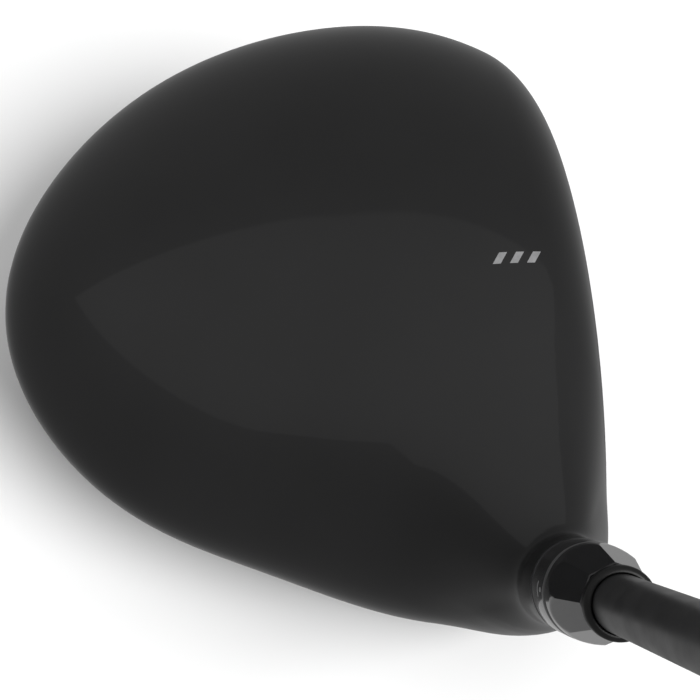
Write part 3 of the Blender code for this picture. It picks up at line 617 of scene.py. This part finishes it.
WEIGHT = finish("weight_metal", (0.22, 0.22, 0.23), 0.27, metallic=1.0, mottle=(900, 0.12),
                haze=(800, 0.07), bumps=((2600, 0.003),), wear=(0.45, 0.45, 0.46))
PORT = finish("port_metal", (0.10, 0.10, 0.105), 0.32, metallic=1.0, mottle=(900, 0.12),
              haze=(800, 0.07), bumps=((2600, 0.003),), wear=(0.3, 0.3, 0.31))
PLUG = finish("plug_plastic", (0.28, 0.28, 0.28), 0.6, mottle=(400, 0.08), bumps=((1800, 0.01),))
TAPE = finish("tape_paper", (0.58, 0.48, 0.33), 0.85, mottle=(800, 0.1), bumps=((2400, 0.02),))
RUBBER = finish("grip_rubber", (0.014, 0.014, 0.014), 0.72, mottle=(300, 0.25), haze=(500, 0.1),
                bumps=((3200, 0.02), (900, 0.01)), specular=0.35)
# silver for the printed crown bars; on the index ring it also paints a reflected glint
PRINT_AND_GLINT = finish("print_and_glint_silver", (0.27, 0.27, 0.275), 0.42, metallic=0.5, mottle=(900, 0.1),
              haze=(800, 0.06), bumps=((2600, 0.002),))
SCORE = finish("score_paint", (0.30, 0.30, 0.31), 0.5, mottle=(900, 0.1), haze=(800, 0.06),
               bumps=((2600, 0.002),))


# ================================================================================================
# axes
# ================================================================================================
HOSEL = (HOSEL_FOOT, basis(HOSEL_UP))
SHAFT = (HOSEL_FOOT + TILT_HEIGHT * (HOSEL_UP - SHAFT_UP), basis(SHAFT_UP))
PORTS = {}
for side_name in ("front", "rear"):
    turn_joint = JOINTS[side_name + "_weight_screw_turn"]
    PORTS[side_name] = (np.array(turn_joint["pos_m"]), basis(turn_joint["axis"]))


def round_line(origin, direction, radius):
    """Field that is negative inside a cylinder round an axis."""
    def value(p):
        offset = p - origin
        return np.linalg.norm(offset - (offset @ direction)[:, None] * direction, axis=1) - radius
    return value


def badge_line(p):
    x = np.abs(p[:, 0]) / BADGE_HALF[0]
    y = np.abs(p[:, 1] - BADGE_MIDDLE_Y) / BADGE_HALF[1]
    return ((x ** 4 + y ** 4) ** 0.25 - 1) * BADGE_HALF[1]


def face_line(p):
    return np.maximum(shell_distance(p) + FACE_INSET, -FACE_REACH - face_distance(p))


def girth_line(p):
    return p[:, 2] - girth_height(p)


def neck_line(p):
    return along_hosel(p)[0] - NECK_END


# ================================================================================================
# head
# ================================================================================================
def build_skin():
    low, high = np.array(SKIN_LOW) * MM, np.array(SKIN_HIGH) * MM
    points, quads = surface_net(head_field, low, high, CELL)
    points = settle(points, head_field)
    triangles = to_triangles(points, quads)
    pocket = round_line(HOSEL_FOOT, HOSEL_UP, TUBE_R + SEAM)
    patch = round_line(HOSEL_FOOT, HOSEL_UP, NECK_PATCH_R)
    lines = {"neck_end": neck_line, "pocket": pocket, "patch": patch, "girth": girth_line,
             "face": face_line, "badge": badge_line}
    for name, (origin, turn) in PORTS.items():
        lines[name] = round_line(origin, turn[:, 2], PORT_R + SEAM)
    for line in lines.values():
        points, triangles = split(points, triangles, line)
    middle = points[triangles].mean(1)
    inside = {name: line(middle) < 0 for name, line in lines.items()}
    height = along_hosel(middle)[0]
    gone = ~inside["neck_end"] | (inside["pocket"] & (height < POCKET_TOP))
    sole = middle[:, 2] < girth_height(middle) - SOLE_BELOW_GIRTH
    for name in PORTS:
        gone |= inside[name] & sole
    face = inside["face"] & ~gone
    badge = inside["badge"] & sole & ~gone
    neck = inside["patch"] & (height > NECK_PATCH_LOW)
    crown = ~inside["girth"] & ~neck & ~face & ~gone
    rest = ~(gone | face | badge | crown)
    regions = {"crown": crown, "body": rest, "face": face, "badge": badge}
    return points, {name: triangles[region] for name, region in regions.items()}


def build_head():
    points, regions = build_skin()
    crown = thick_piece("crown_skin", points, regions["crown"], CROWN_SKIN, GLOSS, "club_head")
    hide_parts("crown_shell")
    body = thick_piece("body_skin", points, regions["body"], BODY_SKIN, CAST, "club_head")
    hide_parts("body_casting")
    face = thick_piece("face_skin", points, regions["face"], FACE_SKIN, FACE, "club_head")
    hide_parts("face_plate")
    badge = thick_piece("badge_skin", points, regions["badge"], BADGE_SKIN, BADGE, "club_head",
                        sink=BADGE_SINK)
    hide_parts("sole_badge")


def foot_to_sole(points):
    """Slide the tube's foot along its axis until it is flush with the sole."""
    height, _ = along_hosel(points)
    foot = height < TUBE_FOOT_BAND
    low, high = np.full(foot.sum(), TUBE_MOUTH), np.full(foot.sum(), TUBE_FOOT_TOP)
    base = points[foot] - height[foot][:, None] * HOSEL_UP
    for _ in range(40):
        middle = (low + high) / 2
        outside = head_field(base + middle[:, None] * HOSEL_UP) > -TUBE_SINK
        low, high = np.where(outside, middle, low), np.where(outside, high, middle)
    points = points.copy()
    points[foot] = base + high[:, None] * HOSEL_UP
    return points


def build_hosel():
    profile = [(TUBE_MOUTH, TUBE_R), (RIM_LOW, TUBE_R), (RIM_LOW, RIM_R), (RIM_TOP, RIM_R),
               (RIM_TOP, BORE_R), (WEB_TOP, BORE_R), (WEB_TOP, SCREW_HOLE_R),
               (POCKET_FLOOR, SCREW_HOLE_R), (POCKET_FLOOR, POCKET_R), (TUBE_MOUTH, POCKET_R)]
    tube = turned("hosel_bore", soften(profile, TUBE_ROUND), HOSEL, TUBE, "club_head",
                  bend=foot_to_sole)
    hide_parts("hosel_tube")
    profile = [(RING_LOW, BORE_R), (RING_LOW, RING_R), (RING_TOP - RING_CHAMFER, RING_R - RING_DRAFT),
               (RING_TOP, RING_R - RING_CHAMFER / 2), (RING_TOP, BORE_R)]
    ring = turned("index_collar", soften(profile, SMALL_ROUND), HOSEL, RING, "index_ring")
    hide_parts("adapter_ring")


def sleeve_radius(height, angles):
    """Round shoulder cut by tapering flats."""
    half = pi / SLEEVE_FLATS
    within = angles % (2 * half) - half
    share = (height - FLATS_START) / (SLEEVE_TOP - FLATS_START)
    flat_end = COLLAR_R * cos(half)
    flat = (SHOULDER_R + (flat_end - SHOULDER_R) * share) / np.cos(within)
    fall = SLEEVE_ROUND_FALL * max(share, 0.0) ** SLEEVE_ROUND_POWER
    turned_radius = SHOULDER_R + SLEEVE_ROUND_PROUD - fall
    return smooth_min(np.full_like(angles, turned_radius), flat, FLAT_EDGE)


def build_sleeve():
    sides = 24 * SLEEVE_FLATS
    angles = 2 * pi * np.arange(sides) / sides
    rings = [ring_points(height, radius, sides) for height, radius in
             soften([(SLEEVE_FOOT, SCREW_HOLE_R), (SLEEVE_FOOT, BARREL_R),
                     (SLEEVE_SEAT, BARREL_R), (SLEEVE_SEAT, SHOULDER_R - SEAT_CHAMFER[1]),
                     (SLEEVE_SEAT + SEAT_CHAMFER[0], SHOULDER_R)],
                    SLEEVE_EDGE, closed=False)]
    for height in np.linspace(SLEEVE_SEAT + 2 * SEAT_CHAMFER[0], SLEEVE_TOP - SLEEVE_EDGE, 60):
        radius = sleeve_radius(height, angles)
        rings.append(list(zip(radius * np.cos(angles), radius * np.sin(angles),
                              np.full(sides, height))))
    radius = sleeve_radius(SLEEVE_TOP, angles) - SLEEVE_EDGE
    rings.append(list(zip(radius * np.cos(angles), radius * np.sin(angles),
                          np.full(sides, SLEEVE_TOP))))
    bore = TIP_R + GAP
    rings += [ring_points(SLEEVE_TOP, bore, sides), ring_points(SHAFT_TIP, bore, sides),
              ring_points(SHAFT_TIP, SCREW_HOLE_R, sides)]
    points, faces = loft(rings, True)
    made = make_object("sleeve_body", placed(points, *HOSEL), faces, SLEEVE, "shaft_assembly",
                       crease=radians(24))
    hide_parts("adapter_sleeve")
    inner = TIP_R + COLLAR_GAP
    profile = [(COLLAR_LOW, inner), (COLLAR_LOW, COLLAR_R),
               (COLLAR_HIGH - COLLAR_CHAMFER[0], COLLAR_R),
               (COLLAR_HIGH, COLLAR_R - COLLAR_CHAMFER[1]), (COLLAR_HIGH, inner)]
    collar = turned("ferrule", soften(profile, COLLAR_ROUND), SHAFT, COLLAR, "shaft_assembly")
    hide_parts("shaft_collar")


def lobed_screw(name, low, high, under, head_r, shank_r, socket, place, body, sink):
    """Screw along +Z: shank from low up to under, head to high, with a six-lobed socket."""
    sides = 96
    angles = 2 * pi * np.arange(sides) / sides
    lobes = (socket[0] + socket[1]) / 2 + (socket[0] - socket[1]) / 2 * np.cos(6 * angles)
    outer = soften([(low, 0.4 * shank_r), (low, shank_r), (under, shank_r), (under, head_r),
                    (high, head_r), (high, head_r - SCREW_BEVEL)], SMALL_ROUND, closed=False)
    rings = [[(0, 0, low)]]
    rings += [ring_points(height, radius, sides) for height, radius in outer]
    for height, grow in ((high, SOCKET_LIP), (high - SOCKET_LIP, 0.0), (high - sink, 0.0)):
        rings.append(list(zip((lobes + grow) * np.cos(angles), (lobes + grow) * np.sin(angles),
                              np.full(sides, height))))
    rings.append([(0, 0, high - sink - SOCKET_POINT)])
    points, faces = loft(rings, False)
    return make_object(name, placed(points, *place), faces, STEEL, body)


def build_screws():
    down = np.diag([1.0, -1.0, -1.0])
    upside = (HOSEL_FOOT, HOSEL[1] @ down)
    screw = lobed_screw("clamp_bolt", -SCREW_TOP, -SCREW_HEAD_LOW, -SCREW_HEAD_HIGH, SCREW_HEAD_R,
                        SCREW_SHANK_R, SOCKET_RADII, upside, "clamp_screw", SOCKET_DEPTH)
    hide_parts("hosel_screw")
    for name, place in PORTS.items():
        floor, thread_r = -POCKET_DEPTH, WEIGHT_SHANK_R + GAP
        port_bore = WEIGHT_R + WEIGHT_CLEAR
        profile = [(-WEIGHT_SINK, PORT_R), (-WEIGHT_SINK, port_bore), (floor, port_bore),
                   (floor, thread_r), (-PORT_DEPTH, thread_r), (-PORT_DEPTH, PORT_R)]
        ring = turned(name + "_bush", soften(profile, SMALL_ROUND), place, PORT, "club_head")
        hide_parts(name + "_weight_port")
        seat, bore = -WEIGHT_SINK - WEIGHT_SEAT_DEPTH, WEIGHT_HEAD_R + WEIGHT_CLEAR
        profile = [(-WEIGHT_SINK, bore), (-WEIGHT_SINK, WEIGHT_R), (floor + GAP, WEIGHT_R),
                   (floor + GAP, thread_r), (seat, thread_r), (seat, bore)]
        puck = turned(name + "_puck", soften(profile, WEIGHT_ROUND), place, WEIGHT,
                      name + "_puck")
        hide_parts(name + "_weight")
        top = -WEIGHT_SINK - WEIGHT_SCREW_SINK
        screw = lobed_screw(name + "_bolt", WEIGHT_SCREW_SHORT - PORT_DEPTH, top, seat + GAP,
                            WEIGHT_HEAD_R, WEIGHT_SHANK_R, WEIGHT_SOCKET_RADII, place,
                            name + "_screw", WEIGHT_SOCKET_DEPTH)
        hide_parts(name + "_weight_screw")


# ================================================================================================
# shaft and grip
# ================================================================================================
def shaft_radius(height):
    share = (height - TAPER_START) / (SHAFT_BUTT - TAPER_START)
    return TIP_R + (BUTT_R - TIP_R) * max(share, 0.0)


def grip_radius(height):
    share = (height - GRIP_MOUTH) / (GRIP_END - GRIP_MOUTH)
    return GRIP_MOUTH_R + (GRIP_BUTT_R - GRIP_MOUTH_R) * max(share, 0.0) ** GRIP_TAPER_POWER


def build_shaft():
    heights = [SHAFT_TIP, *np.linspace(SHAFT_TIP + SHAFT_TIP_BAND, SHAFT_BUTT, 60)]
    outer = [(height, shaft_radius(height)) for height in heights]
    inner = [(height, shaft_radius(height) - SHAFT_WALL) for height in reversed(heights)]
    made = turned("shaft_tube", outer + inner, SHAFT, GRAPHITE, "shaft_assembly",
                  sides=96)
    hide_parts("shaft")


def grip_groove(height, angles):
    """Depth of the crossing grooves, which fade out towards both ends of the grip."""
    fade = smooth_step(height, *GROOVE_FADE_LOW) * (1 - smooth_step(height, *GROOVE_FADE_HIGH))
    depth = np.zeros_like(angles)
    for hand in (-1, 1):
        phase = (angles * GROOVE_TURNS / (2 * pi) + hand * height / GROOVE_PITCH) % 1
        away = np.abs(phase - 0.5) * 2
        depth = np.maximum(depth, np.clip(1 - (1 - away) / GROOVE_WIDTH, 0, 1))
    return GROOVE_DEPTH * fade * depth


def build_grip():
    sides = 216
    angles = 2 * pi * np.arange(sides) / sides
    rings = []
    for up, grow in GRIP_LIP:
        rings.append(ring_points(GRIP_MOUTH + up, grip_radius(GRIP_MOUTH + up) + grow, sides))
    for height in np.linspace(GRIP_MOUTH + GRIP_LIP_END, GRIP_END, 260):
        radius = grip_radius(height) - grip_groove(height, angles)
        rings.append(list(zip(radius * np.cos(angles), radius * np.sin(angles),
                              np.full(sides, height))))
    for height in (GRIP_END, GRIP_MOUTH):
        rings.append(ring_points(height, shaft_radius(height) + GRIP_BORE_GAP, sides))
    points, faces = loft(rings, True)
    made = make_object("grip_sleeve", placed(points, *SHAFT), faces, RUBBER, "shaft_assembly")
    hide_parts("grip")
    profile = [(GRIP_END + GAP, VENT_R), (GRIP_END + GAP, GRIP_BUTT_R), (CLUB_END, GRIP_BUTT_R),
               (CLUB_END, VENT_R)]
    cap = turned("butt_cap", soften(profile, CAP_ROUND), SHAFT, RUBBER, "shaft_assembly")
    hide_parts("grip_cap")


# ================================================================================================
# marks, and a painted glint on the index ring
# ================================================================================================
def mark_grid(outline, across, along):
    return np.array([outline(u, v) for v in np.linspace(0, 1, along)
                     for u in np.linspace(0, 1, across)])


def inlay(name, outline, drop, finish_, across=5, along=25):
    """A thin plate on the skin: outline(u, v) gives points near it, drop the way down onto it."""
    grid = mark_grid(outline, across, along)
    for _ in range(MARK_STEPS):
        grid = grid + np.array(drop) * head_field(grid)[:, None]
    return plate(name, grid, outward(grid), across, along, finish_, "club_head")


def ring_glint(name, outline, across, along):
    """A thin plate round the index ring that paints a highlight as a mark: outline(u, v) gives
    heights and distances round it.
    """
    height, round_ = mark_grid(outline, across, along).T
    angle = round_ / RING_R
    normal = np.stack([np.cos(angle), np.sin(angle), np.zeros_like(angle)], 1)
    grid = RING_R * normal + height[:, None] * np.array([0, 0, 1])
    return plate(name, placed(grid, *HOSEL), normal @ HOSEL[1].T, across, along, PRINT_AND_GLINT,
                 "index_ring")


def plate(name, grid, normal, across, along, finish_, body):
    """Close a grid of points into a plate that stands a little proud of the surface under it."""
    top, low = grid + MARK_LIFT * normal, grid - MARK_ROOT * normal
    size = across * along
    faces = []
    for row in range(along - 1):
        for col in range(across - 1):
            at = row * across + col
            faces.append([at, at + 1, at + across + 1, at + across])
            faces.append([corner + size for corner in reversed(faces[-1])])
    edge = [*range(across), *[row * across + across - 1 for row in range(1, along)],
            *[(along - 1) * across + col for col in range(across - 2, -1, -1)],
            *[row * across for row in range(along - 2, 0, -1)]]
    for here, there in zip(edge, edge[1:] + edge[:1]):
        faces.append([there, here, here + size, there + size])
    span = np.cross(top[1] - top[0], top[across] - top[0])
    if span @ normal[0] < 0:
        faces = [face[::-1] for face in faces]
    return make_object(name, np.concatenate([top, low]), faces, finish_, body)


def painted_glint_dot(u, v):
    a, b = 2 * u - 1, 2 * v - 1
    return (GLINT_HEIGHT + GLINT_DOT_R * a * (1 - b * b / 2) ** 0.5,
            GLINT_ROUND + GLINT_DOT_R * b * (1 - a * a / 2) ** 0.5)


def painted_glint_arc(u, v):
    reach, turn = GLINT_ARC_R + GLINT_ARC_WIDTH * (u - 0.5), GLINT_ARC_HALF * (2 * v - 1)
    return GLINT_HEIGHT - reach * cos(turn), GLINT_ROUND + reach * sin(turn)


def slanted_bar(x, y, number):
    """One of three slanted alignment bars side by side on the crown."""
    def outline(u, v):
        across = (number - 1) * BAR_PITCH + BAR_WIDE * (u - 0.5) + BAR_SLANT * (v - 0.5)
        return (x + BAR_TALL * (v - 0.5), y - across, MARK_ABOVE)
    return outline


def score_line(x_from, x_to, height, width):
    def outline(u, v):
        return (x_from + (x_to - x_from) * v, FACE_Y - MARK_BEFORE, height + width * (u - 0.5))
    return outline


def build_marks():
    for number in range(3):
        inlay(f"crown_mark_{number}", slanted_bar(*MARK_PLACE, number), (0, 0, -MARK_STEP),
              PRINT_AND_GLINT)
    # painted highlight: a silver dot and arc on the ring copy a reflected glint, laid on as index
    # marks
    ring_glint("painted_glint_dot", painted_glint_dot, 9, 9)
    ring_glint("painted_glint_arc", painted_glint_arc, 3, 25)
    for number in range(SCORE_LINES):
        height = SCORE_LOWEST + SCORE_PITCH * number
        inner = SCORE_INNER_END if number in (0, SCORE_LINES - 1) else SCORE_INNER
        outer = SCORE_OUTER - SCORE_OUTER_FALL * abs(number - SCORE_LINES // 2)
        for hand, side in ((-1, "heel"), (1, "toe")):
            line = score_line(hand * inner, hand * outer, height, SCORE_WIDTH)
            inlay(f"score_{number}_{side}", line, (0, MARK_STEP, 0), SCORE)


# ================================================================================================
# carried-over nodes, stage, light and camera
# ================================================================================================
def dress_carried_nodes():
    for node, look in {"screw_washer": STEEL, "screw_retainer": PLUG, "tip_plug": PLUG,
                       "grip_tape": TAPE}.items():
        mesh = frame["nodes"][node].data
        if not mesh.materials:
            mesh.materials.append(look)
        for number in range(len(mesh.materials)):
            mesh.materials[number] = look


def card_light(name, place, across, up, power):
    """A flat lit card round a point, spanned by two edges at right angles that face the head."""
    across, up = Vector(across), Vector(up)
    data = bpy.data.lights.new(name, "AREA")
    data.shape, data.energy = "RECTANGLE", power
    data.size, data.size_y = across.length, up.length
    x, y = across.normalized(), up.normalized()
    made = bpy.data.objects.new(name, data)
    made.matrix_world = (Matrix.Translation(place)
                         @ Matrix((x, y, x.cross(y))).transposed().to_4x4())
    bpy.context.scene.collection.objects.link(made)


def build_stage():
    half = FLOOR_HALF
    mesh = bpy.data.meshes.new("floor")
    mesh.from_pydata([(-half, -half, 0), (half, -half, 0), (half, half, 0), (-half, half, 0)], [],
                     [(0, 1, 2, 3)])
    mesh.materials.append(finish("floor_pale", (0.86, 0.86, 0.86), 0.9, mottle=(3, 0.01),
                                 haze=(4, 0.02), bumps=(), specular=0.1))
    floor = bpy.data.objects.new("floor", mesh)
    floor.location = (0, 0, -FLOOR_DROP)
    floor.visible_glossy = False
    bpy.context.scene.collection.objects.link(floor)
    world = bpy.data.worlds.new("studio")
    bpy.context.scene.world = world
    world.use_nodes = True
    world.node_tree.nodes["Background"].inputs["Color"].default_value = (1, 1, 1, 1)
    world.node_tree.nodes["Background"].inputs["Strength"].default_value = WORLD_LIGHT
    for name, card in CARDS.items():
        card_light(name, *card)
    key = bpy.data.objects.new("key", bpy.data.lights.new("key", "SUN"))
    key.data.energy, key.data.angle = SUN_LIGHT, SUN_SPREAD
    key.rotation_mode = "QUATERNION"
    key.rotation_quaternion = Vector(SUN_FROM).to_track_quat("Z", "Y")
    bpy.context.scene.collection.objects.link(key)


def build_camera():
    el, az = CAMERA_ELEVATION, CAMERA_AZIMUTH
    back = Vector((-cos(el) * cos(az), cos(el) * sin(az), sin(el)))
    right = Vector((0, 0, 1)).cross(back).normalized()
    up = back.cross(right)
    side = cos(CAMERA_ROLL) * right + sin(CAMERA_ROLL) * up
    top = -sin(CAMERA_ROLL) * right + cos(CAMERA_ROLL) * up
    data = bpy.data.cameras.new("camera")
    data.sensor_width, data.lens = 36, CAMERA_LENS
    data.clip_start = 0.01
    camera = bpy.data.objects.new("camera", data)
    turn = Matrix((side, top, back)).transposed().to_4x4()
    camera.matrix_world = Matrix.Translation(CAMERA_PLACE) @ turn
    bpy.context.scene.collection.objects.link(camera)
    bpy.context.scene.camera = camera


build_head()
build_hosel()
build_sleeve()
build_screws()
build_shaft()
build_grip()
build_marks()
dress_carried_nodes()
build_stage()
build_camera()
bpy.context.scene.view_settings.view_transform = "Standard"
